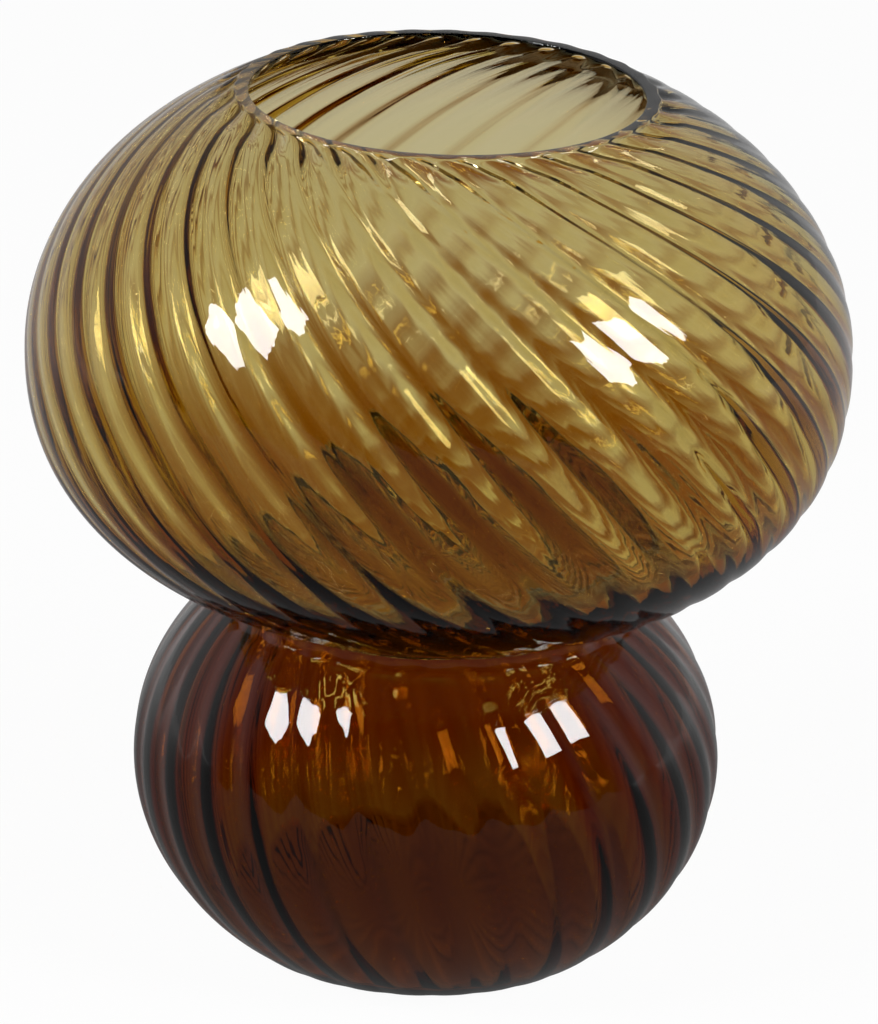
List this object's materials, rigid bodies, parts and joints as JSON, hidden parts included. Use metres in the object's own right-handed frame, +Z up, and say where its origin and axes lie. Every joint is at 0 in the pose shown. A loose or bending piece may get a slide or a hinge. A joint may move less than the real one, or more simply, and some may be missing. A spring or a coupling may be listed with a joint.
{
  "type": "glass vase",
  "caption": "Vase of two ribbed blown-glass globes, a wide amber one with an open mouth bonded on top of a smaller brown one.",
  "frame": {"origin": "middle of the flat foot, on the surface that the vase stands on", "axes": "+Z up along the axis of both globes, towards the mouth; -Y towards the viewer of the picture"},
  "size_m": [0.1798, 0.1798, 0.1945],
  "materials": {
    "amber_glass": "polished, blown, tinted through",
    "brown_glass": "polished, blown, tinted through",
    "clear_adhesive": "clear cured adhesive"
  },
  "bodies": {
    "root": {"upper_globe": "amber_glass", "lower_globe": "brown_glass", "bond_ring": "clear_adhesive"}
  },
  "joints": []
}
